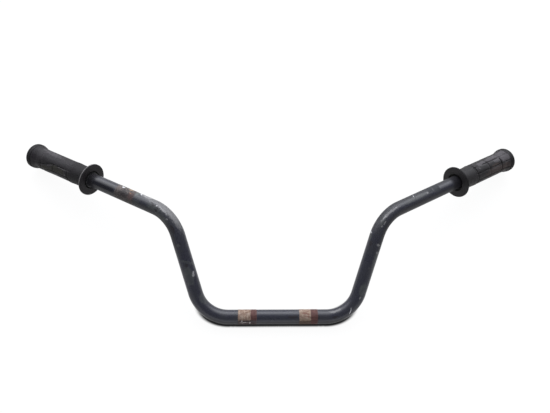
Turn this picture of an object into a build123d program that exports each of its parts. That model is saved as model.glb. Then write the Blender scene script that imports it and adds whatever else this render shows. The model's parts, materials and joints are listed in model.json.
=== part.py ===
"""Motorcycle handlebar: a bent steel tube with a rubber grip at each end, one of them the twist grip.

Millimetres. The origin is on the tube's axis, in the middle of the clamp section. +X runs along the
clamp section towards the rider's left grip, +Y from the clamp section towards the grips, and +Z up,
with the bar standing on a flat surface on its clamp section and on the ends of both grips.
"""
import os
from math import cos, radians, sin, tan

from build123d import *

# The tube, of the common 7/8 inch size
TUBE_R = 11.1
TUBE_WALL = 2.0

# The tube's run on one side of the bar, from the middle outwards
CLAMP_HALF = 74.7        # half of the straight clamp section
LOWER_BEND_R = 52.7      # radius of the tube's axis in the bend from clamp section to riser
RISER_LENGTH = 91.4      # straight part of the riser
UPPER_BEND_R = 59.3      # radius of the tube's axis in the bend from riser to grip end
CONTROL_LENGTH = 129.2   # straight tube between the upper bend and the grip, for the controls

# Directions on the left side: the spread is the angle out of the YZ plane, the rise is above +Y
RISER_SPREAD = 16.44
RISER_RISE = 29.74
GRIP_SPREAD = 57.52
GRIP_RISE = -26.4

# Knurled seats for the two clamps
SEAT_R = 11.3
SEAT_CENTRE = 46.7
SEAT_LENGTH = 28.4

# Grips: outside sizes, shared by both
GRIP_LENGTH = 131.5
GRIP_R = 17.2
FLANGE_R = 26.0
FLANGE_THICK = 3.5
FLANGE_EDGE = 1.0        # rounding of the flange's rim
COLLAR_FILLET = 2.0      # between the flange and the collar
RECESS_R = 14.5          # shallow recess in the flange's face, around the tube
RECESS_DEPTH = 3.0
END_R = 20.55            # flared outer end
FLARE_START = 110.0
FLARE_RIM = 123.5        # where the flare reaches its full radius
END_EDGE = 4.0           # rounding of the closed end
END_WALL = 5.0           # rubber across the closed end

# Tread of the grips: two ring grooves with a padded zone between them
RING_GROOVES = (38.5, 100.0)
ROW_SPLIT = 70.0         # where each row is divided into two pads
GROOVE_WIDTH = 1.8
GROOVE_DEPTH = 1.0
PAD_ROWS = 9             # rows of pads that would fill the whole way round
LEFT_FIRST_ROW = -13.0   # angle of a groove between two rows, from the top of the grip
LEFT_PALM = (130.0, 230.0)               # angles of the smooth side, without pads
THROTTLE_FIRST_ROW = -28.0
THROTTLE_PALM = (0.0, 130.0)

# Twist grip: a sleeve turns on the tube inside the rubber
SLEEVE_R = 12.7
RUNNING_GAP = 0.05       # radial, between the tube and the sleeve
SLEEVE_PROUD = 0.6       # how far the sleeve's end stands out of the flange's face
TUBE_END_GAP = 4.0       # between the tube's end and the closed end inside the rubber
SLEEVE_END_GAP = 2.0


def direction(spread, rise):
    """Unit vector on the left side, spread degrees out of the YZ plane and rise degrees above +Y."""
    out, up = radians(spread), radians(rise)
    return Vector(sin(out), cos(out) * cos(up), cos(out) * sin(up))


CLAMP_DIR = Vector(1, 0, 0)
RISER_DIR = direction(RISER_SPREAD, RISER_RISE)
GRIP_DIR = direction(GRIP_SPREAD, GRIP_RISE)
BORE_END = GRIP_LENGTH - END_WALL


def tube_section(start, along):
    """Ring-shaped section of the tube, square to the direction along."""
    ring = Circle(TUBE_R) - Circle(TUBE_R - TUBE_WALL)
    return Plane(origin=start, z_dir=along) * ring


def straight(start, along, length):
    """One straight run of the tube, and the point where it ends."""
    return extrude(tube_section(start, along), amount=length, dir=along), start + along * length


def bend(start, before, after, radius):
    """One bend of the tube from direction before to direction after, and the point where it ends."""
    turn = before.get_angle(after)
    axle = before.cross(after).normalized()
    inwards = axle.cross(before)
    centre = start + inwards * radius
    solid = revolve(tube_section(start, before), Axis(centre, axle), turn)
    return solid, start + (before + after) * (radius * tan(radians(turn / 2)))


def left_side():
    """The left half of the tube, and the point on its axis at the face of the grip's flange."""
    clamp, at = straight(Vector(0, 0, 0), CLAMP_DIR, CLAMP_HALF)
    lower, at = bend(at, CLAMP_DIR, RISER_DIR, LOWER_BEND_R)
    riser, at = straight(at, RISER_DIR, RISER_LENGTH)
    upper, at = bend(at, RISER_DIR, GRIP_DIR, UPPER_BEND_R)
    grip_face = at + GRIP_DIR * CONTROL_LENGTH
    grip_run = CONTROL_LENGTH + BORE_END - TUBE_END_GAP
    end, _ = straight(at, GRIP_DIR, grip_run)
    return clamp + lower + riser + upper + end, grip_face


def clamp_seat():
    """Knurled band on the left half of the clamp section, drawn at its height over the crests."""
    start = Plane(origin=(SEAT_CENTRE - SEAT_LENGTH / 2, 0, 0), z_dir=CLAMP_DIR)
    return extrude(start * (Circle(SEAT_R) - Circle(TUBE_R - TUBE_WALL)), amount=SEAT_LENGTH)


def handlebar_tube(half):
    """The whole tube: one half with its clamp seat, and the same mirrored."""
    seated = half + clamp_seat()
    return seated + mirror(seated, about=Plane.YZ)


def grip_outline():
    """Half section of a grip's outside on the XZ plane, its points given as (radius, distance along)."""
    flare_hold = (GRIP_R, (FLARE_START + FLARE_RIM) / 2)
    rim = GRIP_LENGTH - END_EDGE
    with BuildSketch(Plane.XZ) as section:
        with BuildLine():
            Polyline((0, 0), (FLANGE_R, 0), (FLANGE_R, FLANGE_THICK), (GRIP_R, FLANGE_THICK),
                     (GRIP_R, FLARE_START))
            Bezier((GRIP_R, FLARE_START), flare_hold, (END_R, FLARE_RIM))
            Line((END_R, FLARE_RIM), (END_R, rim))
            RadiusArc((END_R, rim), (END_R - END_EDGE, GRIP_LENGTH), -END_EDGE)
            Polyline((END_R - END_EDGE, GRIP_LENGTH), (0, GRIP_LENGTH), (0, 0))
        make_face()
        rim_corners = section.vertices().filter_by(lambda v: abs(v.X - FLANGE_R) < 0.01)
        fillet(rim_corners, FLANGE_EDGE)
        neck = section.vertices().filter_by(
            lambda v: abs(v.X - GRIP_R) < 0.01 and abs(v.Y - FLANGE_THICK) < 0.01)
        fillet(neck, COLLAR_FILLET)
    return section.sketch


def groove_around(at, width, start=0.0, sweep=360.0):
    """Cutter for a groove around the grip, centred at a distance along it, from one angle over a sweep."""
    section = Plane.XZ * Pos(GRIP_R, at) * Rectangle(2 * GROOVE_DEPTH, width)
    return Rot(0, 0, start) * revolve(section, Axis.Z, sweep)


def tread(first_row, palm):
    """Cutters for the ring grooves, and for the finer grooves that divide the zone between into pads."""
    def on_palm(angle):
        return (angle - palm[0]) % 360 < palm[1] - palm[0]

    first, last = RING_GROOVES
    fine = GROOVE_WIDTH / 2
    pitch = 360 / PAD_ROWS
    slot = Pos(GRIP_R, 0, (first + last) / 2) * Box(2 * GROOVE_DEPTH, fine, last - first)
    cuts = [groove_around(at, GROOVE_WIDTH) for at in RING_GROOVES]
    for row in range(PAD_ROWS):
        angle = first_row + pitch * row
        if not on_palm(angle):
            cuts.append(Rot(0, 0, angle) * slot)
        if not on_palm(angle + pitch / 2):
            cuts.append(groove_around(ROW_SPLIT, fine, angle, pitch))
    return cuts


def grip(bore_r, first_row, palm):
    """A rubber grip along +Z from its flange's face, closed at the far end, for a core of radius bore_r."""
    outside = revolve(grip_outline(), Axis.Z)
    recess = Pos(0, 0, RECESS_DEPTH / 2) * Cylinder(RECESS_R, RECESS_DEPTH)
    bore = Pos(0, 0, BORE_END / 2) * Cylinder(bore_r, BORE_END)
    return outside - [recess, bore] - tread(first_row, palm)


def throttle_sleeve():
    """The sleeve along +Z that turns on the tube and carries the twist grip."""
    length = BORE_END - SLEEVE_END_GAP + SLEEVE_PROUD
    ring = Circle(SLEEVE_R) - Circle(TUBE_R + RUNNING_GAP)
    return Pos(0, 0, -SLEEVE_PROUD) * extrude(ring, amount=length)


def build():
    """Every node by name, where it stands in the bar's frame."""
    half, left_face = left_side()
    right_face = Vector(-left_face.X, left_face.Y, left_face.Z)
    right_dir = Vector(-GRIP_DIR.X, GRIP_DIR.Y, GRIP_DIR.Z)
    left_place = Plane(origin=left_face, x_dir=(0, 0, 1), z_dir=GRIP_DIR)
    right_place = Plane(origin=right_face, x_dir=(0, 0, 1), z_dir=right_dir)
    print("left flange face at", left_face, "along", GRIP_DIR)
    return {
        "handlebar_tube": handlebar_tube(half),
        "left_grip": left_place * grip(TUBE_R, LEFT_FIRST_ROW, LEFT_PALM),
        "throttle_grip": right_place * grip(SLEEVE_R, THROTTLE_FIRST_ROW, THROTTLE_PALM),
        "throttle_sleeve": right_place * throttle_sleeve(),
    }


os.makedirs("parts", exist_ok=True)
for node, solid in build().items():
    export_step(solid, f"parts/{node}.step")
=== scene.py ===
"""Looks of the motorcycle handlebar: the worn painted tube, the two moulded rubber grips and the studio.

Everything is in metres, in the CAD model's frame: the origin is in the middle of the clamp section,
+X runs towards the rider's left grip, +Y from the clamp section towards the grips, and +Z is up.
"""

import json
from math import cos, pi, radians, sin

import bpy
import numpy as np
from mathutils import Matrix, Vector


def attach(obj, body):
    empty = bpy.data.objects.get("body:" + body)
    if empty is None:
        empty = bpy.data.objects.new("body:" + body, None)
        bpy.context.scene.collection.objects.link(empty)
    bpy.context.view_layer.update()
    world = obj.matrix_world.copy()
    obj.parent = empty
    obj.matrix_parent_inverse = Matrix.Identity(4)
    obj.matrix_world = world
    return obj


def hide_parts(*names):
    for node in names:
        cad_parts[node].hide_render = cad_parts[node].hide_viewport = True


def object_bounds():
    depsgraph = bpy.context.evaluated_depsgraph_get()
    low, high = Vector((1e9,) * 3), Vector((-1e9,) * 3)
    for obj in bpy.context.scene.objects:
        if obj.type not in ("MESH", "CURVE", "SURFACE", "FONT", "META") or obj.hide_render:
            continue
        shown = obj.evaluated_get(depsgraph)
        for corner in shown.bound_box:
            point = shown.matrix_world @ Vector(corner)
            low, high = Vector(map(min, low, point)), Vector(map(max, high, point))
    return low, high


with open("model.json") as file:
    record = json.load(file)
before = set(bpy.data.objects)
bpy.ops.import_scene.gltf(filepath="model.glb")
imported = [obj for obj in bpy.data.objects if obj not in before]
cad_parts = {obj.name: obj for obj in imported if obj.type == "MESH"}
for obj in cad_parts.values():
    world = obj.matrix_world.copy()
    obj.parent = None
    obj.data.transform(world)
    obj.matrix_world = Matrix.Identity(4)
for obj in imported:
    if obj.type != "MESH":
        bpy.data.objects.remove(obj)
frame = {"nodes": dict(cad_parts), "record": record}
cad_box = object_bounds()
mounts = {m["name"]: m for m in frame["record"]["mounts"]}

# ---------------------------------------------------------------- sizes of the tube
TUBE_R = mounts["clamp_section"]["dims"]["r_mm"] / 1000
TUBE_WALL = 0.002
CLAMP_HALF = mounts["clamp_section"]["dims"]["length_mm"] / 2000
LOWER_BEND_R = 0.0527
RISER_LENGTH = 0.0914
UPPER_BEND_R = 0.0593
CONTROL_LENGTH = mounts["control_seat_left"]["dims"]["length_mm"] / 1000
RISER_DIR = (radians(16.44), radians(29.74))     # spread out of the YZ plane, rise above +Y
TUBE_END = 0.1225                                # how far the tube runs on inside a grip
BEND_FLATTENING = 0.035                          # share of the radius lost in the middle of a bend
SEAT_CENTRE = mounts["clamp_seat_left"]["pos_m"][0]
SEAT_LENGTH = mounts["clamp_seat_left"]["dims"]["length_mm"] / 1000
SEAT_R = mounts["clamp_seat_left"]["dims"]["r_mm"] / 1000
KNURL_COUNT = 64                                 # diamonds around the tube
KNURL_EDGE = 0.0006                              # over which the knurl rises at the seat's ends
KNURL_SHARPNESS = 2.2                            # above 1, the tops of its diamonds are worn flat
TUBE_AROUND = 192                                # points around the tube, three to a diamond
LOWER_BEND_RINGS, UPPER_BEND_RINGS = 34, 30
RISER_RINGS, END_RINGS = 19, 46
SEAT_TO_BEND = 0.068                             # where the ring between the seat and the bend stands
BORE_EVERY = 6                                   # the bore takes one ring in so many

# ---------------------------------------------------------------- sizes of the grips
GRIP_LENGTH = 0.1315
GRIP_R = 0.0172
FLANGE_R = 0.026
FLANGE_THICK = 0.0035
RECESS_R = 0.0145
RECESS_DEPTH = 0.003
END_R = 0.02055
FLARE_START = 0.1115
CONE_END = 0.1205                                # the flare ends in a small notch before the bead
CONE_R = 0.0199
BEAD_START = 0.1216
BEAD_FULL = 0.1235                               # where the bead reaches the end's full radius
END_EDGE = 0.004                                 # rounding of the closed end
BORE_END = 0.1265
SLEEVE_R = 0.0127
RING_GROOVES = (0.0385, 0.100)
RING_WIDTH = 0.0026
ROW_SPLIT = 0.070                                # where each row is divided into two pads
ROWS_FROM, ROWS_TO = 0.035, 0.119                # the grooves between rows run past both rings
GROOVE_WIDTH = 0.0015
GROOVE_DEPTH = 0.0011
CROWN = 0.0004                                   # how far the middle of a pad bulges
COLLAR_LIP = 0.0004                              # and the collar's edge beside the first ring groove
LIP_START, LIP_FULL = 0.024, 0.034
PAD_ROWS = 9
DRIFT_START, DRIFT_FULL = 0.072, 0.102           # where the throttle grip's rows wander round it
GRIP_AROUND = 288
RECESS_EDGE, FACE_EDGE, BACK_EDGE = 0.0007, 0.0013, 0.0010        # roundings of the flange
FILLET = 0.0025                                  # between the flange and the collar
GROOVE_EDGE = 0.0004                             # over which a groove's side falls
CROWN_REACH = 0.004                              # from a groove to a pad's full bulge
COLLAR_FROM = 0.0075                             # first ring of points of the collar
TREAD_FROM, TREAD_TO = 0.0346, 0.1025            # the stretch with close rings
FLARE_FROM = 0.1035                              # first ring after it
COLLAR_STEP, TREAD_STEP, FLARE_STEP = 0.0025, 0.00035, 0.00085    # between the rings of points

# ---------------------------------------------------------------- studio levels, as radiance
PANEL = 5.4              # the soft panel behind the bar
WALL = 1.75              # low pale walls in front of the bar
CEILING = 0.30           # a dim light from everywhere
SKY_TINT = (0.965, 0.985, 1.035, 1)
SEEN_SKY = 0.98          # what shows over the table's far edge in low views
FLOOR_GLOW = 0.94        # what the white table gives off by itself
FLOOR_ALBEDO = 0.06
CONTACT_DARK = 0.50      # share of open sky under which the table stops glowing
CONTACT_CLEAR = 0.64     # and from which it glows fully

# the table, in metres
FLOOR_GAP = 0.0001       # under the lowest point of the bar
FLOOR_STEP = 0.002       # its grid around the bar
FLOOR_MARGIN = 0.04      # how far the fine grid goes past the bar
FLOOR_FAR = (0.1, 0.3, 1.0, 3.0, 12.0)           # its last lines, from the bar outwards
GRIP_SHADE_R = 0.009     # a grip's radius for its shadow, less than its own since only its end touches

# the camera: metres, angles in radians, lens and sensor in mm
CAMERA_AT = (-0.0437, -0.2048, 0.8464)
CAMERA_PAN, CAMERA_TILT, CAMERA_ROLL = 0.1086, 1.135, 0.1034
CAMERA_LENS, CAMERA_SENSOR = 36.375, 36.0


# ---------------------------------------------------------------- small tools
def smooth(x):
    """0 below 0, 1 above 1 and a smooth step between."""
    x = np.clip(x, 0, 1)
    return x * x * (3 - 2 * x)


def unit(v):
    return np.asarray(v, float) / np.linalg.norm(v)


def turn(v, axle, angle):
    """v turned about the unit vector axle."""
    return v * cos(angle) + np.cross(axle, v) * sin(angle) + axle * (axle @ v) * (1 - cos(angle))


def make_mesh(name, rings, values, close_loop=False):
    """A mesh from rings of points, joined ring to ring. A ring of one point closes an end.

    values holds point values by attribute name, one array for each ring.
    """
    points, starts = [], []
    for ring in rings:
        starts.append(len(points))
        points.extend(map(tuple, ring))
    faces = []
    pairs = list(zip(range(len(rings) - 1), range(1, len(rings))))
    if close_loop:
        pairs.append((len(rings) - 1, 0))
    for a, b in pairs:
        n, m = len(rings[a]), len(rings[b])
        for i in range(max(n, m)):
            j = (i + 1) % max(n, m)
            quad = [starts[a] + i % n, starts[b] + i % m, starts[b] + j % m, starts[a] + j % n]
            faces.append(list(dict.fromkeys(quad)))
    mesh = bpy.data.meshes.new(name)
    mesh.from_pydata(points, [], faces)
    mesh.polygons.foreach_set("use_smooth", [True] * len(faces))
    for key, arrays in values.items():
        attribute = mesh.attributes.new(key, "FLOAT", "POINT")
        attribute.data.foreach_set("value", np.concatenate(arrays).astype(np.float32))
    mesh.validate()
    piece = bpy.data.objects.new(name, mesh)
    bpy.context.scene.collection.objects.link(piece)
    return piece


# ---------------------------------------------------------------- the tube
def tube_stations():
    """Stations along the left half: (point, direction, first normal, distance, bend inwards, flattening).

    The first normal starts as +Z and is carried round the bends without twist.
    """
    spread, rise = RISER_DIR
    riser = np.array([sin(spread), cos(spread) * cos(rise), cos(spread) * sin(rise)])
    end = unit(mounts["control_seat_left"]["axis"])
    point, along, normal = np.zeros(3), np.array([1.0, 0, 0]), np.array([0, 0, 1.0])
    distance, stations = 0.0, []

    def run(length, steps, skip_first=True):
        nonlocal point, distance
        for t in np.asarray(steps)[1 if skip_first else 0:]:
            stations.append((point + along * length * t, along, normal, distance + length * t,
                             normal, 0.0))
        point, distance = point + along * length, distance + length

    def bend(after, radius, count):
        nonlocal point, distance, along, normal
        axle = unit(np.cross(along, after))
        angle = np.arccos(along @ after)
        inwards = np.cross(axle, along)
        centre = point + inwards * radius
        for t in np.linspace(0, 1, count + 1)[1:]:
            here = turn(-inwards * radius, axle, angle * t) + centre
            stations.append((here, turn(along, axle, angle * t), turn(normal, axle, angle * t),
                             distance + radius * angle * t, turn(inwards, axle, angle * t),
                             BEND_FLATTENING * smooth(min(t, 1 - t) * 3)))
        point, distance = stations[-1][0], distance + radius * angle
        along, normal = after, turn(normal, axle, angle)

    # the seat's rings are close enough to carry the knurl, three to a diamond, and one more stands
    # between the seat and the bend
    pitch = 2 * pi * TUBE_R / KNURL_COUNT
    seat = np.linspace(SEAT_CENTRE - SEAT_LENGTH / 2 - pitch, SEAT_CENTRE + SEAT_LENGTH / 2 + pitch,
                       3 * round(SEAT_LENGTH / pitch + 2) + 1)
    middle = np.concatenate([np.linspace(0, seat[0], 8)[:-1], seat, [SEAT_TO_BEND, CLAMP_HALF]])
    run(CLAMP_HALF, middle / CLAMP_HALF, skip_first=False)
    bend(riser, LOWER_BEND_R, LOWER_BEND_RINGS)
    run(RISER_LENGTH, np.linspace(0, 1, RISER_RINGS))
    bend(end, UPPER_BEND_R, UPPER_BEND_RINGS)
    run(CONTROL_LENGTH + TUBE_END, np.linspace(0, 1, END_RINGS))
    return stations


def knurl(distance, angle):
    """Height of the knurl over the bare tube: worn diamonds inside the clamp seat."""
    turns = angle * KNURL_COUNT / (2 * pi)
    rows = distance / (2 * pi * TUBE_R / KNURL_COUNT)
    ridge = np.minimum(np.abs((turns + rows) % 1 - 0.5), np.abs((turns - rows) % 1 - 0.5)) * 2
    inside = smooth((SEAT_LENGTH / 2 - abs(distance - SEAT_CENTRE)) / KNURL_EDGE)
    return (SEAT_R - TUBE_R) * inside * smooth(ridge * KNURL_SHARPNESS)


def make_tube():
    """The bent tube as one closed mesh, outside and bore, with distance and angle kept for its paint."""
    angle = np.linspace(0, 2 * pi, TUBE_AROUND, endpoint=False)
    half = []
    for point, along, normal, distance, inwards, flat in tube_stations():
        side = np.cross(along, normal)
        out = np.outer(np.cos(angle), normal) + np.outer(np.sin(angle), side)
        radius = TUBE_R + knurl(distance, angle)
        ring = out * radius[:, None]
        ring -= np.outer(ring @ inwards, inwards) * flat
        half.append((point + ring, point + out * (TUBE_R - TUBE_WALL), distance))
    mirrored = [(outer * (-1, 1, 1), inner * (-1, 1, 1), -distance)
                for outer, inner, distance in reversed(half[1:])]
    whole = mirrored + half
    bore = [w for i, w in enumerate(whole) if i % BORE_EVERY == 0 or i in (0, len(whole) - 1)]
    bore.reverse()
    rings = [w[0] for w in whole] + [w[1] for w in bore]
    values = {"along": [np.full(TUBE_AROUND, w[2]) for w in whole + bore]}
    values["turn_cos"] = [np.cos(angle)] * len(rings)
    values["turn_sin"] = [np.sin(angle)] * len(rings)
    return make_mesh("bar_tube", rings, values, close_loop=True)


# ---------------------------------------------------------------- the grips
def grip_outline(bore_r):
    """Outline of a grip's half section as (distance, radius, tread) points, from the bore's end round
    the outside to the middle of the closed end. tread is 1 where the tread may be cut."""
    def arc(s, r, radius, start, stop, count=7):
        angles = np.radians(np.linspace(start, stop, count))
        return [(s + radius * sin(a), r + radius * cos(a), 0) for a in angles]

    # bore and recess, each with a small bevel at its edge
    points = [(BORE_END, 0, 0), (BORE_END, bore_r, 0)]
    points += [(RECESS_DEPTH + 0.0006, bore_r, 0), (RECESS_DEPTH, bore_r + 0.0006, 0)]
    points += [(RECESS_DEPTH, RECESS_R - 0.0004, 0), (RECESS_DEPTH - 0.0004, RECESS_R, 0)]

    # flange, rounded at its rim and at the recess
    points += arc(RECESS_EDGE, RECESS_R + RECESS_EDGE, RECESS_EDGE, 180, 270, 4)
    points += [(0, r, 0) for r in np.linspace(RECESS_R + 0.003, FLANGE_R - 0.004, 4)]
    points += arc(FACE_EDGE, FLANGE_R - FACE_EDGE, FACE_EDGE, -90, 0)
    points += arc(FLANGE_THICK - BACK_EDGE, FLANGE_R - BACK_EDGE, BACK_EDGE, 0, 90)
    points += [(FLANGE_THICK, r, 0) for r in np.linspace(FLANGE_R - 0.003, GRIP_R + 0.0035, 3)]
    points += arc(FLANGE_THICK + FILLET, GRIP_R + FILLET, -FILLET, 90, 0)

    # collar with its lip, then the tread in close rings, then the flare
    for s in np.arange(COLLAR_FROM, LIP_FULL, COLLAR_STEP):
        points.append((s, GRIP_R + COLLAR_LIP * smooth((s - LIP_START) / (LIP_FULL - LIP_START)), 1))
    for s in np.arange(TREAD_FROM, TREAD_TO, TREAD_STEP):
        points.append((s, GRIP_R + COLLAR_LIP * (s < RING_GROOVES[0]), 1))
    for s in np.arange(FLARE_FROM, CONE_END + 0.0001, FLARE_STEP):
        flare = max(0, (s - FLARE_START) / (CONE_END - FLARE_START))
        points.append((s, GRIP_R + (CONE_R - GRIP_R) * flare ** 1.15, 1))

    # notch, bead and closed end
    points += [(CONE_END + 0.0005, CONE_R - 0.0005, 0), (BEAD_START, CONE_R - 0.0005, 0)]
    for t in np.linspace(0.2, 1, 5):
        rise = (END_R - CONE_R) * sin(t * pi / 2)
        points.append((BEAD_START + (BEAD_FULL - BEAD_START) * t, CONE_R + rise, 0))
    points += arc(GRIP_LENGTH - END_EDGE, END_R - END_EDGE, END_EDGE, 0, 90, 12)
    points += [(GRIP_LENGTH, r, 0) for r in (0.014, 0.010, 0.006, 0.002)]
    points.append((GRIP_LENGTH, 0, 0))
    return points


def tread_height(s, angle, first_row, palm, drift, worn):
    """0 at the bottom of a groove and 1 on a pad or on the smooth palm side, for a ring at s. The middle
    of a pad comes out above 1, by its bulge. worn lists the places where grooves are nearly gone, as
    (s, degrees, length, sweep, share of the depth left)."""
    def outside(away, width):
        return smooth((away - width / 2) / GROOVE_EDGE + 1)

    from_ring = min(abs(s - ring) for ring in RING_GROOVES)
    rings = outside(from_ring, RING_WIDTH) * np.ones_like(angle)
    height = rings
    if ROWS_FROM < s < ROWS_TO:
        row_turn = angle - first_row + drift * smooth((s - DRIFT_START) / (DRIFT_FULL - DRIFT_START))
        turns = row_turn / (2 * pi) * PAD_ROWS
        beside = np.abs(turns - np.round(turns)) * 2 * pi / PAD_ROWS * GRIP_R
        lines = outside(beside, GROOVE_WIDTH) * outside(abs(s - ROW_SPLIT), GROOVE_WIDTH)
        on_palm = (row_turn + first_row - palm[0]) % (2 * pi) < palm[1] - palm[0]
        height = rings * np.where(on_palm, 1, lines)
        nearest = np.minimum(beside, min(from_ring, abs(s - ROW_SPLIT)))
        height = height + CROWN / GROOVE_DEPTH * np.where(on_palm, 0, smooth(nearest / CROWN_REACH))
    for at, turned, length, sweep, left in worn:
        across = (np.degrees(angle) - turned + 180) % 360 - 180
        away = np.hypot((s * 1000 - at) / (length / 2), across / (sweep / 2))
        gone = (1 - left) * smooth((1.3 - away) / 0.6)
        height = height + (1 - np.minimum(height, 1)) * gone
    return height


def make_grip(name, seat, bore_r, **pattern):
    """A grip on the end of the bar at the mount seat: flange, collar, tread, flared closed end."""
    mount = mounts[seat]
    axis = unit(mount["axis"])
    face = np.array(mount["pos_m"]) + axis * CONTROL_LENGTH / 2
    up = unit(np.array([0, 0, 1.0]) - axis * axis[2])
    side = np.cross(axis, up)
    angle = np.linspace(0, 2 * pi, GRIP_AROUND, endpoint=False)
    out = np.outer(np.cos(angle), up) + np.outer(np.sin(angle), side)
    rings = []
    values = {"pad": [], "along": [], "turn_cos": [], "turn_sin": []}
    for s, r, tread in grip_outline(bore_r):
        count = GRIP_AROUND if r else 1
        height = tread_height(s, angle, **pattern) if tread else np.ones(count)
        radius = r - GROOVE_DEPTH * (1 - height)
        rings.append(face + axis * s + out[:count] * radius[:, None])
        values["pad"].append(height)
        values["along"].append(np.full(count, s))
        values["turn_cos"].append(np.cos(angle[:count]))
        values["turn_sin"].append(np.sin(angle[:count]))
    return make_mesh(name, rings, values)


# ---------------------------------------------------------------- materials
class Nodes:
    """A node tree under construction, with short calls for the nodes that it uses."""

    def __init__(self, tree):
        self.tree = tree

    def node(self, kind, **inputs):
        made = self.tree.nodes.new(kind)
        for key, value in inputs.items():
            self.put(made.inputs[key], value)
        return made

    def put(self, socket, value):
        if isinstance(value, bpy.types.NodeSocket):
            self.tree.links.new(value, socket)
        else:
            socket.default_value = value

    def math(self, operation, *values):
        made = self.node("ShaderNodeMath")
        made.operation = operation
        for socket, value in zip(made.inputs, values):
            self.put(socket, value)
        return made.outputs[0]

    def times(self, *values):
        product = values[0]
        for value in values[1:]:
            product = self.math("MULTIPLY", product, value)
        return product

    def most(self, values):
        """The largest of some masks."""
        largest = values[0]
        for value in values[1:]:
            largest = self.math("MAXIMUM", largest, value)
        return largest

    def step(self, value, low, high, out_low=0.0, out_high=1.0):
        """A smooth ramp of value from low to high; it falls when low is the larger one."""
        made = self.node("ShaderNodeMapRange")
        made.interpolation_type = "SMOOTHSTEP"
        for key, v in (("Value", value), ("From Min", low), ("From Max", high),
                       ("To Min", out_low), ("To Max", out_high)):
            self.put(made.inputs[key], v)
        return made.outputs["Result"]

    def vector(self, x, y, z=0.0):
        return self.node("ShaderNodeCombineXYZ", X=x, Y=y, Z=z).outputs[0]

    def moved(self, vector, at=(0, 0, 0), turned=0.0, size=(1, 1, 1)):
        """vector seen from a place, a turn about Z in degrees and a size of its own."""
        made = self.node("ShaderNodeMapping")
        made.vector_type = "TEXTURE"
        self.put(made.inputs["Vector"], vector)
        made.inputs["Location"].default_value = at
        made.inputs["Rotation"].default_value = (0, 0, radians(turned))
        made.inputs["Scale"].default_value = size
        return made.outputs[0]

    def noise(self, vector, scale, detail=4.0, rough=0.55):
        return self.node("ShaderNodeTexNoise", Vector=vector, Scale=scale, Detail=detail,
                         Roughness=rough).outputs["Fac"]

    def cells(self, vector, scale, feature="F1"):
        """Distance to the nearest cell point or cell edge, and for points a random colour per cell."""
        made = self.node("ShaderNodeTexVoronoi", Vector=vector, Scale=scale)
        made.feature = feature
        return made.outputs["Distance"], made.outputs.get("Color")

    def mix(self, amount, first, second):
        """Colour mix from first to second."""
        made = self.node("ShaderNodeMix")
        made.data_type = "RGBA"
        self.put(made.inputs["Factor"], amount)
        for socket, value in ((made.inputs[6], first), (made.inputs[7], second)):
            self.put(socket, (*value, 1.0) if isinstance(value, tuple) else value)
        return made.outputs[2]

    def blend(self, amount, first, second):
        """Number mix from first to second."""
        return self.node("ShaderNodeMix", Factor=amount, A=first, B=second).outputs[0]


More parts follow.
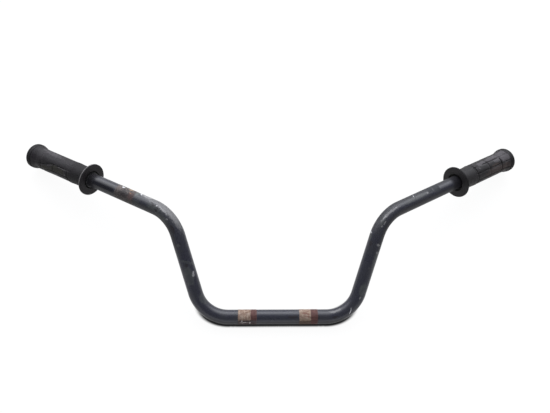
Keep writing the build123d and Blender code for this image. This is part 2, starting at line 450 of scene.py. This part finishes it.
class Shader(Nodes):
    """A material under construction on a piece that keeps its distance along and its turn around."""

    def __init__(self, name):
        self.material = bpy.data.materials.new(name)
        self.material.use_nodes = True
        super().__init__(self.material.node_tree)
        self.surface = self.tree.nodes["Principled BSDF"]
        self.place = self.node("ShaderNodeTexCoord").outputs["Object"]

        # one noise makes every mark's edge ragged, and fray is the same about zero
        self.ragged = self.noise(self.place, 420.0, 6.0, 0.65)
        self.fray = self.math("SUBTRACT", self.ragged, 0.5)

    def attribute(self, name):
        made = self.node("ShaderNodeAttribute")
        made.attribute_name = name
        return made.outputs["Fac"]

    def unroll(self, radius):
        """Keeps distance in mm, angle in degrees, and both as a flat map of the surface in mm."""
        self.distance = self.times(self.attribute("along"), 1000.0)
        turned = self.math("ARCTAN2", self.attribute("turn_sin"), self.attribute("turn_cos"))
        self.angle = self.math("DEGREES", turned)
        flat = self.vector(self.distance, self.times(turned, radius * 1000))
        warp = self.node("ShaderNodeTexNoise", Vector=self.place, Scale=170.0, Detail=3.0)
        shift = self.node("ShaderNodeVectorMath")
        shift.operation = "MULTIPLY_ADD"
        for socket, value in zip(shift.inputs, (warp.outputs["Color"], (WARP, WARP, 0), flat)):
            self.put(socket, value)
        self.flat = self.moved(shift.outputs["Vector"], (WARP / 2, WARP / 2, 0))
        self.mm_per_degree = radius * 1000 * pi / 180

    def mark(self, distance, angle, length, width, tilt=0, ragged=1.2, square=False):
        """Mask of one worn mark: an ellipse, or a rectangle, on the flat map with a ragged edge.

        The gradient node measures up to three times the mark's size, in one step from place to number,
        which keeps long lists of marks within what one shader may hold.
        """
        at, reach = (distance, angle * self.mm_per_degree, 0), 1 if square else 3
        here = self.moved(self.flat, at, tilt, (length / 2 * reach, width / 2 * reach, 1))
        if square:
            split = self.node("ShaderNodeSeparateXYZ", Vector=here)
            size = self.most([self.math("ABSOLUTE", split.outputs[i]) for i in (0, 1)])
            size = self.math("MULTIPLY_ADD", self.fray, ragged, size)
        else:
            ball = self.node("ShaderNodeTexGradient", Vector=here)
            ball.gradient_type = "SPHERICAL"
            far = self.math("MULTIPLY_ADD", self.fray, ragged, reach)
            size = self.math("MULTIPLY_ADD", ball.outputs["Fac"], -reach, far)
        return self.step(size, 1.2, 0.75)

    def marks(self, listed):
        """The largest of listed marks, taken one at a time, so that few values are held at once."""
        largest = self.mark(*listed[0])
        for one in listed[1:]:
            largest = self.math("MAXIMUM", largest, self.mark(*one))
        return largest

    def band(self, low, high, soft, value=None):
        """Mask of the stretch from low to high, by distance unless another value is given."""
        value = self.distance if value is None else value
        return self.times(self.step(value, low - soft, low + soft),
                          self.step(value, high + soft, high - soft))

    def wear(self, amount, colour, roughness):
        """Lays a colour and a roughness over what is there, by a mask."""
        self.colour = self.mix(amount, self.colour, colour)
        self.roughness = self.blend(amount, self.roughness, roughness)

    def bump(self, height, distance, normal=None):
        made = self.node("ShaderNodeBump", Height=height, Distance=distance)
        if normal is not None:
            self.put(made.inputs["Normal"], normal)
        return made.outputs["Normal"]

    def finish(self, normal, specular):
        self.put(self.surface.inputs["Base Color"], self.colour)
        self.put(self.surface.inputs["Roughness"], self.roughness)
        self.put(self.surface.inputs["Normal"], normal)
        self.surface.inputs["Specular IOR Level"].default_value = specular
        return self.material


WARP = 3.5      # mm over which a slow noise bends every mark out of its plain shape

# Worn marks on the tube: distance along it in mm from its middle, angle in degrees from its top, length
# and width in mm, then, where they aren't plain, tilt in degrees, raggedness and whether it is square.
# Negative distances are on the throttle side.
RUBBED = [(-284, -31, 84, 17, 2, 2.0), (-262, 38, 3, 3), (92, -20, 26, 4), (210, 72, 4, 7, 10),
          (222, 52, 4, 6), (256, 28, 7, 1.6), (249, 22, 3, 2), (272, 7, 32, 4, 6, 2.4), (350, 12, 4, 3),
          (137, 42, 5, 2, 20)]
RUBBED_BRIGHT = [(-173, -9, 10, 4.4, 20, 1.8), (-276, 10, 17, 3.4, 5), (-286.5, 13, 3.6, 3.6),
                 (-341, 3, 3.4, 1.5, 35), (-310, -34, 16, 9), (262, 2, 7, 1.8, 8), (284, 9, 5, 1.5)]
HAZY = [(257, 6, 24, 5, -14, 2.4), (-286, 34, 30, 11), (-270, 60, 30, 8), (322, 12, 56, 7),
        (-191, 0, 24, 4, -60), (-220, 42, 5, 6), (-161, 55, 7, 4), (150, 38, 22, 9), (-172, 30, 30, 14),
        (331, 12, 18, 4, -8), (230, -45, 12, 8), (-130, -20, 22, 12), (195, 68, 30, 8)]
CHIPS = [(113, 44, 10, 1.2, -38), (-322.5, -33, 8.5, 2.2, 44), (-357, -22, 4.8, 3.6, 30),
         (324, -14, 2.2, 2.4), (-54.5, 47, 2.2, 2.2), (-42.5, 66, 3, 3.6),
         (237, -50, 2, 6), (-286.5, 13, 1.7, 1.7)]
STAINS = [(-294, 12, 7, 3, 25), (-291, 24, 6, 2.4, -30), (-283, 27, 5, 2.2), (-283, 48, 6, 4),
          (-222, 25, 2.2, 2), (-218, 34, 3, 1.6, 30), (-188, 26, 4.5, 4.5), (-246, 42, 14, 5),
          (88, 27, 9, 3), (23, 17, 15, 4.5), (62, 16, 4, 8), (221, -12, 8, 5), (287, 2, 7, 2.6),
          (325, 6, 6, 1.4, -50)]
GLOSSY = [(-390, 40, 44, 14, 0, 0.15, True)]
DULL = [(358, -4, 10.5, 10.5, 0, 0.25, True), (371.5, 0, 13, 14, 8, 0.5, True)]

# On the clamp seats: red spots and one tan scratch on the left one, and pale chips on the right one.
SEAT_RED = [(42, -13, 9, 2.4, 6), (47, -2, 4, 3), (45, 16, 8, 1.4), (46, -32, 5, 1.5)]
SEAT_SCRATCH = (42, 35, 17, 2.2, 0, 0.6)
SEAT_CHIPS = [(-54.5, 47, 2.2, 2.2), (-42.5, 66, 3, 3.6), (-51, 64, 12, 1.7)]

# The stretch where a control was clamped beside the throttle, in mm, and single marks in it:
# mark, share laid over, colour and roughness.
RUST_FROM, RUST_TO = -365.5, -330
RUST_MARKS = [
    ((-361, -8, 12, 14, 0, 3.4), 0.45, (0.135, 0.110, 0.102), 0.75),
    ((-335, 30, 11, 13, 0, 3.0), 0.7, (0.054, 0.030, 0.028), 0.75),
    ((-343, -34, 10, 7, 20, 1.6), 1.0, (0.165, 0.120, 0.082), 0.75),
    ((-338, 10, 4, 2.2, 30, 1.8), 0.8, (0.170, 0.095, 0.065), 0.75),
    ((-349, 32, 15, 12, 0, 3.2), 0.85, (0.011, 0.007, 0.008), 0.50),
    ((-322, 30, 15, 15, 0, 2.6), 0.25, (0.044, 0.050, 0.048), 0.60),
    ((-327.5, -20, 6, 12, 0, 1.5), 0.7, (0.092, 0.102, 0.095), 0.60),
]


def add_random_wear(m):
    """A few small nicks and hairline scratches all over."""
    apart, shade = m.cells(m.moved(m.place, turned=20), 85.0)
    few = m.step(m.node("ShaderNodeSeparateColor", Color=shade).outputs[0], 0.80, 0.84)
    nick = m.times(m.step(m.math("MULTIPLY_ADD", m.ragged, 0.10, apart), 0.16, 0.10), few)
    hair = m.noise(m.moved(m.flat, turned=24, size=(26, 0.9, 1)), 1.0, 2.0)
    hair = m.step(m.math("ABSOLUTE", m.math("SUBTRACT", hair, 0.5)), 0.010, 0.0)
    hair = m.times(hair, m.step(m.noise(m.place, 110.0, 2.0), 0.52, 0.66))
    m.wear(m.times(hair, 0.22), (0.070, 0.072, 0.078), 0.45)
    m.wear(m.times(nick, 0.8), (0.110, 0.105, 0.100), 0.6)


def add_painted_shade(m, from_middle, on_left):
    """Painted shade: duller and darker stretches on the lower front side of the clamp section and of the
    arms, along the top of one arm, and beside the flanges.
    """
    # painted shade: the lower front side of the clamp section made darker and duller
    low = m.times(m.band(60, 125, 8, m.angle), m.band(-105, 105, 12))
    m.wear(m.times(low, 0.85), (0.010, 0.010, 0.012), 0.60)
    # painted shade: the lower front side of the arms made darker and duller
    under = m.times(m.band(50, 125, 9, m.angle), m.step(from_middle, 195, 235))
    m.wear(m.times(under, 0.75), (0.0085, 0.0085, 0.0115), 0.60)
    # painted shade: the top of the arm on the left grip's side made darker and duller, which dims its
    # highlight there
    over = m.times(m.step(m.angle, 10, -10), m.step(m.distance, 235, 262))
    m.wear(m.times(over, 0.92), (0.0095, 0.0100, 0.0135), 0.54)
    # painted shade: the tube made darker beside each flange, darkest right at it
    shade_beside_flange = m.times(m.step(from_middle, 404, 413), m.blend(on_left, 0.75, 1.0))
    m.wear(shade_beside_flange, (0.0070, 0.0062, 0.0100), 0.72)
    m.wear(m.times(m.step(from_middle, 405, 415), 0.9), (0.0020, 0.0014, 0.0040), 0.88)


def add_known_marks(m, from_middle, middle, fine):
    """Grit on the outside of the upper bends, pits around them, and the marks listed above."""
    gritty = m.times(m.step(fine, 0.56, 0.66), m.band(238, 345, 14, from_middle))
    grit = m.times(gritty, m.band(-70, 40, 16, m.angle))
    m.wear(m.times(grit, 0.7), (0.085, 0.086, 0.088), 0.55)
    pits = m.times(m.step(fine, 0.42, 0.34), m.band(238, 380, 14, from_middle))
    m.wear(m.times(pits, 0.7), (0.008, 0.008, 0.010), 0.60)
    m.wear(m.times(m.marks(GLOSSY), 0.9), (0.0045, 0.0048, 0.0085), 0.16)
    m.wear(m.times(m.marks(DULL), 0.95), (0.017, 0.019, 0.023), 0.74)
    hazy = m.times(m.marks(HAZY), m.step(middle, 0.3, 0.7, 0.35, 0.75))
    m.wear(hazy, (0.047, 0.051, 0.050), 0.46)
    rubbed = m.times(m.marks(RUBBED), m.step(m.ragged, 0.25, 0.60, 0.45, 1.0))
    m.wear(rubbed, (0.126, 0.124, 0.127), 0.50)
    m.wear(m.times(m.marks(RUBBED_BRIGHT), 0.8), (0.212, 0.209, 0.213), 0.46)
    m.wear(m.times(m.marks(STAINS), 0.9), (0.013, 0.011, 0.014), 0.42)


def add_rust_band(m, middle, fine):
    """The rusty, dusty band beside the throttle, and its mask."""
    frayed = m.math("MULTIPLY_ADD", middle, 9.0, m.math("SUBTRACT", m.distance, 4.5))
    rust = m.band(RUST_FROM, RUST_TO, 2.2, frayed)
    grime = m.mix(m.step(fine, 0.35, 0.65), (0.044, 0.037, 0.034), (0.070, 0.061, 0.057))
    patches = m.noise(m.moved(m.place, (0.4, 0.1, 0.2)), 480.0, 3.0)
    grime = m.mix(m.times(m.step(patches, 0.52, 0.61), 0.85), grime, (0.150, 0.124, 0.112))
    grime = m.mix(m.times(m.step(patches, 0.49, 0.41), 0.9), grime, (0.014, 0.010, 0.011))
    m.wear(m.times(rust, 0.9), grime, 0.72)
    lower = m.times(rust, m.step(m.angle, 8.0, 26.0))
    m.wear(m.times(lower, 0.65), (0.016, 0.012, 0.013), 0.62)
    for mark, share, colour, roughness in RUST_MARKS:
        m.wear(m.times(m.mark(*mark), share), colour, roughness)
    return rust


def seat_crust(m, on_left, middle):
    """Tan crust of the clamp seats: streaked, netted with red-brown and with a few red spots."""
    net_apart, _ = m.cells(m.moved(m.flat, size=(1.7, 3.2, 1)), 1.0, "DISTANCE_TO_EDGE")
    net = m.times(m.step(net_apart, 0.11, 0.02), m.step(m.noise(m.place, 300.0), 0.35, 0.55))
    streaks = m.noise(m.moved(m.flat, size=(9.0, 1.1, 1)), 1.0, 4.0, 0.7)
    upright = m.noise(m.moved(m.flat, size=(1.5, 7.0, 1)), 1.0, 4.0, 0.6)
    grain = m.blend(on_left, upright, streaks)
    crust = m.mix(m.step(grain, 0.36, 0.62), (0.150, 0.095, 0.070), (0.255, 0.190, 0.145))
    crust = m.mix(m.times(m.step(middle, 0.50, 0.62), 0.6), crust, (0.300, 0.240, 0.200))
    crust = m.mix(m.times(net, m.blend(on_left, 0.75, 0.35)), crust, (0.085, 0.036, 0.026))
    return m.mix(m.times(m.marks(SEAT_RED), 0.75), crust, (0.115, 0.042, 0.032))


def add_seats(m, on_left, middle, fine):
    """The clamp seats, tan on the throttle's side and red-brown on the other, thin underneath. Returns
    the masks of both colours."""
    side = m.math("SIGN", m.distance)
    along = m.math("SUBTRACT", m.distance, m.times(side, SEAT_CENTRE * 1000))
    along = m.math("MULTIPLY_ADD", m.fray, 2.0, along)
    past_split = m.math("SUBTRACT", along, m.blend(on_left, 5.6, 4.0))
    tan = m.times(m.step(along, -14.05, -13.35), m.step(past_split, 0.35, -0.35))
    brown = m.times(m.step(past_split, -0.5, 0.5), m.step(along, 15.1, 14.1))
    crust = seat_crust(m, on_left, middle)
    oxide = m.mix(m.step(middle, 0.35, 0.65), (0.058, 0.020, 0.018), (0.080, 0.031, 0.026))
    oxide = m.mix(m.times(m.step(fine, 0.5, 0.7), 0.4), oxide, (0.110, 0.060, 0.050))

    # underneath, towards the front, the crust is worn away to a darker layer
    turned = m.math("MULTIPLY_ADD", m.fray, 26.0, m.math("ABSOLUTE", m.angle))
    thin = m.step(turned, m.blend(on_left, 36.0, 44.0), m.blend(on_left, 46.0, 52.0))
    below = m.mix(on_left, (0.042, 0.030, 0.029), (0.066, 0.040, 0.026))
    below = m.mix(m.step(fine, 0.52, 0.66), below, (0.110, 0.088, 0.078))
    front = m.step(m.angle, -1.0, 1.0)
    crust = m.mix(m.times(thin, front), crust, below)
    m.wear(tan, crust, 0.80)
    thin_right = m.times(thin, front, m.math("SUBTRACT", 1.0, on_left))
    m.wear(m.times(brown, m.blend(thin_right, 0.95, 0.35)), oxide, 0.72)
    m.wear(m.marks(SEAT_CHIPS), (0.34, 0.31, 0.30), 0.6)
    m.wear(m.times(m.mark(*SEAT_SCRATCH), 0.8), (0.215, 0.160, 0.115), 0.8)
    return tan, brown


def bar_material():
    """Black paint, worn, with crusted clamp seats and a rusty band near the throttle."""
    m = Shader("worn_black_paint")
    m.unroll(TUBE_R)
    broad = m.noise(m.place, 45.0, 3.0)
    middle = m.noise(m.place, 190.0, 5.0)
    fine = m.noise(m.place, 1500.0, 3.0)
    m.colour = m.mix(m.step(broad, 0.40, 0.66), (0.0190, 0.0195, 0.0290), (0.0215, 0.0222, 0.0285))
    m.colour = m.mix(m.step(middle, 0.45, 0.75), m.colour, (0.0235, 0.0240, 0.0320))
    m.roughness = m.step(broad, 0.30, 0.72, 0.25, 0.33)
    add_random_wear(m)
    from_middle = m.math("ABSOLUTE", m.distance)
    on_left = m.step(m.distance, -1, 1)
    add_painted_shade(m, from_middle, on_left)
    add_known_marks(m, from_middle, middle, fine)
    rust = add_rust_band(m, middle, fine)
    m.wear(m.marks(CHIPS), (0.42, 0.42, 0.43), 0.42)
    tan, brown = add_seats(m, on_left, middle, fine)
    normal = m.bump(m.noise(m.place, 260.0, 3.0), 0.00004)
    crusted = m.times(m.most([tan, brown, m.times(rust, 0.5)]), m.noise(m.place, 1300.0, 5.0, 0.7))
    return m.finish(m.bump(crusted, 0.00035, normal), 0.34)


# Rubber that is clean, weathered and scuffed, before a grip's own tone.
RUBBER_TONES = ((0.0092, 0.0086, 0.0094), (0.0135, 0.0126, 0.0136), (0.0270, 0.0245, 0.0262))

# Places where the tread is worn nearly smooth: distance from the flange's face in mm, angle in degrees,
# length in mm, sweep in degrees and the share of the tread's depth that is left.
LEFT_WORN = [(51, -16, 15, 50, 0.0), (100, -35, 10, 60, 0.35), (113, -13, 16, 16, 0.3),
             (70, -45, 8, 50, 0.3)]
THROTTLE_WORN = [(38.5, 30, 10, 140, 0.1), (100, 25, 10, 130, 0.35), (112, -48, 16, 30, 0.2)]

# Dirt and dust on the grips, as for the tube's marks, with the distance from the flange's face.
LEFT_DIRT = [(90, 55, 62, 14, 0, 3.2), (71, 48, 8, 12, 0, 2.0), (84, 22, 22, 4, 0, 2.6)]
LEFT_DUST = [(92, -24, 46, 13, 0, 2.2), (113, -20, 14, 24, 0, 2.0), (58, -22, 22, 8, 0, 2.6),
             (84, 40, 26, 5, 0, 2.0), (47, 5, 5, 2.5, 0, 1.6), (112, 8, 20, 14, 0, 1.8),
             (92, 2, 14, 6, 0, 2.0)]
THROTTLE_DIRT = [(62, -48, 34, 12, 0, 2.6), (86, -66, 30, 8, 0, 2.4)]
THROTTLE_DUST = [(88, 34, 46, 10, 4, 3.8), (44, -62, 1.8, 14, 0, 0.8), (52, -30.5, 34, 1.3, 0, 0.8),
                 (77, -40, 16, 1.2, -14, 0.8)]


def rubber_material(name, tone, dirt_colour, dirty, dust_colour, dusty, handled, edge_dust):
    """Old black rubber: paler where it is scuffed, dust and dirt in given places, painted shade at its
    rims and in its grooves.

    tone scales the rubber's own colours, handled is how far hands have darkened the collar beside the
    flange, and edge_dust is the stretch of the flange's edge, in degrees, where a line of dust lies.
    """
    m = Shader(name)
    m.unroll(GRIP_R)
    pad = m.attribute("pad")
    broad = m.noise(m.place, 70.0, 4.0)
    middle = m.noise(m.place, 320.0, 5.0)
    fine = m.noise(m.place, 2200.0, 3.0)
    toned = [tuple(t * c for t, c in zip(tone, colour)) for colour in RUBBER_TONES]
    m.colour = m.mix(m.step(broad, 0.35, 0.65), toned[0], toned[1])
    m.roughness = m.step(middle, 0.30, 0.70, 0.50, 0.64)
    scuffed = m.times(m.step(middle, 0.46, 0.70), m.step(broad, 0.35, 0.60))
    m.wear(m.times(scuffed, 0.6), toned[2], 0.74)
    collar = m.band(FLANGE_THICK * 1000 + 1, 38, 8)
    m.wear(m.times(collar, handled), (0.0050, 0.0046, 0.0052), 0.74)
    m.wear(m.times(m.marks(dusty), m.step(middle, 0.30, 0.60, 0.45, 1.0)), dust_colour, 0.8)
    m.wear(m.times(m.marks(dirty), m.step(middle, 0.25, 0.60, 0.35, 0.9)), dirt_colour, 0.85)
    rim = m.times(m.step(pad, 0.2, 0.7), m.step(pad, 1.0, 0.8))
    m.wear(m.times(rim, m.step(middle, 0.40, 0.60), 0.55), (0.042, 0.038, 0.038), 0.8)
    # painted shade: darker in the bottoms of the grooves
    m.wear(m.times(m.step(pad, 0.55, 0.15), 0.9), (0.0045, 0.0042, 0.0044), 0.85)
    apart, shade = m.cells(m.place, 260.0)
    few = m.step(m.node("ShaderNodeSeparateColor", Color=shade).outputs[0], 0.72, 0.76)
    speck = m.times(m.step(m.math("MULTIPLY_ADD", m.ragged, 0.2, apart), 0.28, 0.18), few)
    m.wear(m.times(speck, 0.5), (0.070, 0.064, 0.062), 0.9)

    # painted shade: the flange's edge and the rim of the closed end are darkened, the rim most of all at
    # its sides
    flange_edge_shade = m.band(0.35, 3.4, 0.2)
    sideways = m.times(m.angle, m.angle, 0.0016)
    end_rim_shade = m.step(m.math("ADD", m.distance, m.math("MINIMUM", sideways, 5.0)), 123.6, 125.0)
    m.wear(m.times(m.most([flange_edge_shade, end_rim_shade]), 0.9), (0.0018, 0.0016, 0.0020), 0.70)
    dust = m.times(m.band(1.2, 3.4, 0.3), m.band(*edge_dust, 14, m.angle))
    dust = m.times(dust, m.step(m.ragged, 0.30, 0.55, 0.5, 1.0))
    m.wear(dust, (0.120, 0.114, 0.114), 0.8)
    normal = m.bump(m.math("MULTIPLY_ADD", fine, 0.5, middle), 0.00014)
    return m.finish(normal, 0.22)


def sleeve_material():
    """The plain dark nylon of the throttle sleeve, scratched at its end."""
    m = Shader("sleeve_nylon")
    m.colour = m.mix(m.noise(m.place, 300.0), (0.012, 0.012, 0.013), (0.022, 0.022, 0.024))
    m.roughness = m.step(m.noise(m.place, 500.0), 0.3, 0.7, 0.40, 0.55)
    m.wear(m.step(m.ragged, 0.56, 0.66), (0.050, 0.049, 0.050), 0.6)
    return m.finish(m.bump(m.ragged, 0.00004), 0.30)


# ---------------------------------------------------------------- studio
def open_sky(x, y, floor_z):
    """Share of the sky that the tube and the grips leave open, seen from points of the table.

    It takes the nearest stretch of the bar, in plan, as a long level cylinder over the point.
    """
    nearest = np.full(x.shape, np.inf)
    height, radius = np.ones_like(x), np.full(x.shape, TUBE_R)
    stations = tube_stations()
    flange_distance = stations[-1][3] - TUBE_END
    for point, _, _, distance, _, _ in stations:
        on_grip = distance > flange_distance
        for side in (-1, 1):
            away = np.hypot(x - side * point[0], y - point[1])
            closer = away < nearest
            nearest = np.where(closer, away, nearest)
            height = np.where(closer, point[2] - floor_z, height)
            radius = np.where(closer, GRIP_SHADE_R if on_grip else TUBE_R, radius)
    middle = np.arctan2(height, nearest)
    half = np.arcsin(np.minimum(1, radius / np.hypot(height, nearest)))
    first, last = np.maximum(0, middle - half), np.minimum(pi, middle + half)
    return 1 - (np.cos(first) - np.cos(last)) / 2


def make_floor():
    """A white table that glows a little, with a painted contact shadow: its glow fades where the bar
    hides its sky, so that only close contact leaves a dark shadow on it.
    """
    low, high = cad_box
    far = np.array(FLOOR_FAR)

    def grid_lines(first, last):
        near = np.arange(first - FLOOR_MARGIN, last + FLOOR_MARGIN, FLOOR_STEP)
        return np.concatenate([first - far[::-1], near, last + far])

    xs, ys = grid_lines(low.x, high.x), grid_lines(low.y, high.y)
    x, y = (grid.ravel() for grid in np.meshgrid(xs, ys))
    z = low.z - FLOOR_GAP
    row = len(xs)
    corner = (np.arange(len(ys) - 1)[:, None] * row + np.arange(row - 1)).ravel()
    mesh = bpy.data.meshes.new("floor")
    mesh.from_pydata(np.stack([x, y, np.full(x.shape, z)], 1).tolist(), [],
                     np.stack([corner, corner + 1, corner + row + 1, corner + row], 1).tolist())
    attribute = mesh.attributes.new("open", "FLOAT", "POINT")
    attribute.data.foreach_set("value", open_sky(x, y, z).astype(np.float32))
    floor = bpy.data.objects.new("floor", mesh)
    bpy.context.scene.collection.objects.link(floor)
    m = Shader("floor_white")
    m.surface.inputs["Base Color"].default_value = (FLOOR_ALBEDO, FLOOR_ALBEDO, FLOOR_ALBEDO, 1)
    m.surface.inputs["Roughness"].default_value = 0.9
    m.surface.inputs["Specular IOR Level"].default_value = 0.0
    m.surface.inputs["Emission Color"].default_value = (1, 1, 1, 1)
    # the glow follows the share of open sky, which paints the contact shadow
    m.put(m.surface.inputs["Emission Strength"],
          m.step(m.attribute("open"), CONTACT_DARK, CONTACT_CLEAR, 0.0, FLOOR_GLOW))
    floor.data.materials.append(m.material)


def make_world():
    """The studio as light by direction: a wide soft panel behind the bar, low walls in front of it and a
    dim light from everywhere. Its edges are given as a direction's height and its share backwards."""
    world = bpy.data.worlds.new("studio")
    world.use_nodes = True
    n = Nodes(world.node_tree)
    towards = n.node("ShaderNodeTexCoord").outputs["Generated"]
    split = n.node("ShaderNodeSeparateXYZ", Vector=towards)
    height = split.outputs["Z"]
    level = n.math("SQRT", n.math("MAXIMUM", n.math("SUBTRACT", 1.0, n.times(height, height)), 0.0001))
    backwards = n.math("DIVIDE", split.outputs["Y"], level)
    panel = n.times(n.step(backwards, 0.08, 1.05), n.step(height, -0.02, 0.46),
                    n.step(height, 1.04, 0.70))
    walls = n.times(n.step(height, 0.65, 0.0), n.step(backwards, -0.35, -1.0, 0.0, WALL))
    light = n.math("MULTIPLY_ADD", panel, PANEL, walls)
    background = world.node_tree.nodes["Background"]
    background.inputs["Color"].default_value = SKY_TINT
    seen = n.node("ShaderNodeLightPath").outputs["Is Camera Ray"]
    n.put(background.inputs["Strength"], n.blend(seen, n.math("ADD", light, CEILING), SEEN_SKY))
    bpy.context.scene.world = world


def make_camera():
    """The camera looks down on the bar from the motorcycle's front, a little to the rider's right."""
    pan, tilt, roll = CAMERA_PAN, CAMERA_TILT, CAMERA_ROLL
    forward = Vector((sin(pan) * cos(tilt), cos(pan) * cos(tilt), -sin(tilt)))
    level = Vector((cos(pan), -sin(pan), 0))
    up = level.cross(forward)
    right = level * cos(roll) + up * sin(roll)
    up = right.cross(forward)
    data = bpy.data.cameras.new("camera")
    data.sensor_width, data.lens = CAMERA_SENSOR, CAMERA_LENS
    data.clip_start, data.clip_end = 0.01, 100
    camera = bpy.data.objects.new("camera", data)
    turned = Matrix((right, up, -forward)).transposed()
    camera.matrix_world = Matrix.Translation(CAMERA_AT) @ turned.to_4x4()
    bpy.context.scene.collection.objects.link(camera)
    bpy.context.scene.camera = camera


# ---------------------------------------------------------------- putting it together
make_camera()
make_world()
make_floor()
bpy.context.scene.view_settings.view_transform = "Standard"

tube = make_tube()
tube.data.materials.append(bar_material())
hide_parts("handlebar_tube")
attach(tube, "bar")

left_grip = make_grip(
    "left_grip_rubber", "control_seat_left", TUBE_R,
    first_row=radians(-13), palm=(radians(130), radians(230)), drift=0.0, worn=LEFT_WORN)
left_grip.data.materials.append(rubber_material(
    "left_grip_rubber", tone=(0.98, 0.95, 0.98),
    dirt_colour=(0.048, 0.036, 0.033), dirty=LEFT_DIRT,
    dust_colour=(0.072, 0.067, 0.072), dusty=LEFT_DUST, handled=0.0, edge_dust=(60, 61)))
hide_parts("left_grip")
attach(left_grip, "bar")

throttle_grip = make_grip(
    "throttle_grip_rubber", "control_seat_right", SLEEVE_R,
    first_row=radians(-28), palm=(radians(-26), radians(130)), drift=radians(22), worn=THROTTLE_WORN)
throttle_grip.data.materials.append(rubber_material(
    "throttle_grip_rubber", tone=(0.76, 0.68, 0.78),
    dirt_colour=(0.024, 0.022, 0.017), dirty=THROTTLE_DIRT,
    dust_colour=(0.058, 0.054, 0.058), dusty=THROTTLE_DUST, handled=0.6, edge_dust=(-58, 50)))
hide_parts("throttle_grip")
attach(throttle_grip, "throttle")

sleeve = frame["nodes"]["throttle_sleeve"]
for material_slot in sleeve.material_slots:
    material_slot.material = sleeve_material()
